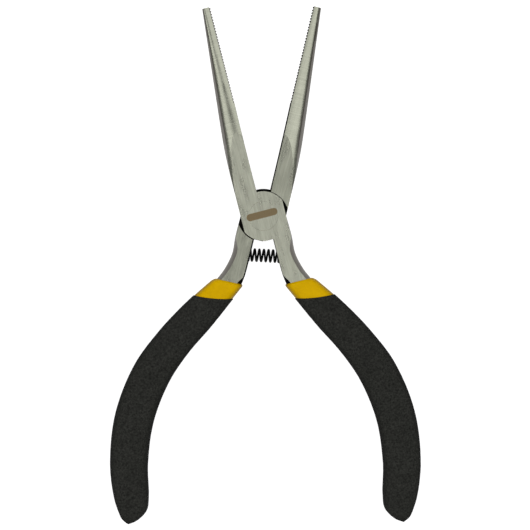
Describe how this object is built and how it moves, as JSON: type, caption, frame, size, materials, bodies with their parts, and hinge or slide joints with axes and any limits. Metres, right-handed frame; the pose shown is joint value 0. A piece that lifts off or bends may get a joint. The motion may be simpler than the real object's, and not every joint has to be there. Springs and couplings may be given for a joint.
{
  "type": "long nose pliers",
  "caption": "Small spring-opened pliers with long tapered jaws, flat serrated gripping faces, a riveted lap joint and curved two-colour sleeved handles.",
  "frame": {"origin": "on the pivot axis, in the plane of the joint's lower face", "axes": "+Z along the pivot axis and up as the tool lies flat; +Y from the handles to the jaw tips, midway between the open jaws; +X to the right"},
  "size_m": [0.0852, 0.1415, 0.0094],
  "materials": {
    "lever_steel": "ground satin",
    "rivet_steel": "ground flush",
    "spring_steel": "black oxide",
    "yellow_sleeve": "smooth semi-gloss vinyl",
    "black_sleeve": "matte, finely textured vinyl"
  },
  "bodies": {
    "back_half": {"back_lever": "lever_steel", "return_spring": "spring_steel", "left_inner_sleeve": "yellow_sleeve", "left_outer_sleeve": "black_sleeve"},
    "front_half": {"front_lever": "lever_steel", "pivot_rivet": "rivet_steel", "right_inner_sleeve": "yellow_sleeve", "right_outer_sleeve": "black_sleeve"}
  },
  "joints": [
    {"name": "pivot", "type": "hinge", "parent": "back_half", "child": "front_half", "pos_m": [0, 0, 0.0038], "axis": [0, 0, -1], "range_deg": [-12, 27.6], "stiffness_Nm_per_rad": 0.67, "deforming": ["return_spring"]}
  ]
}
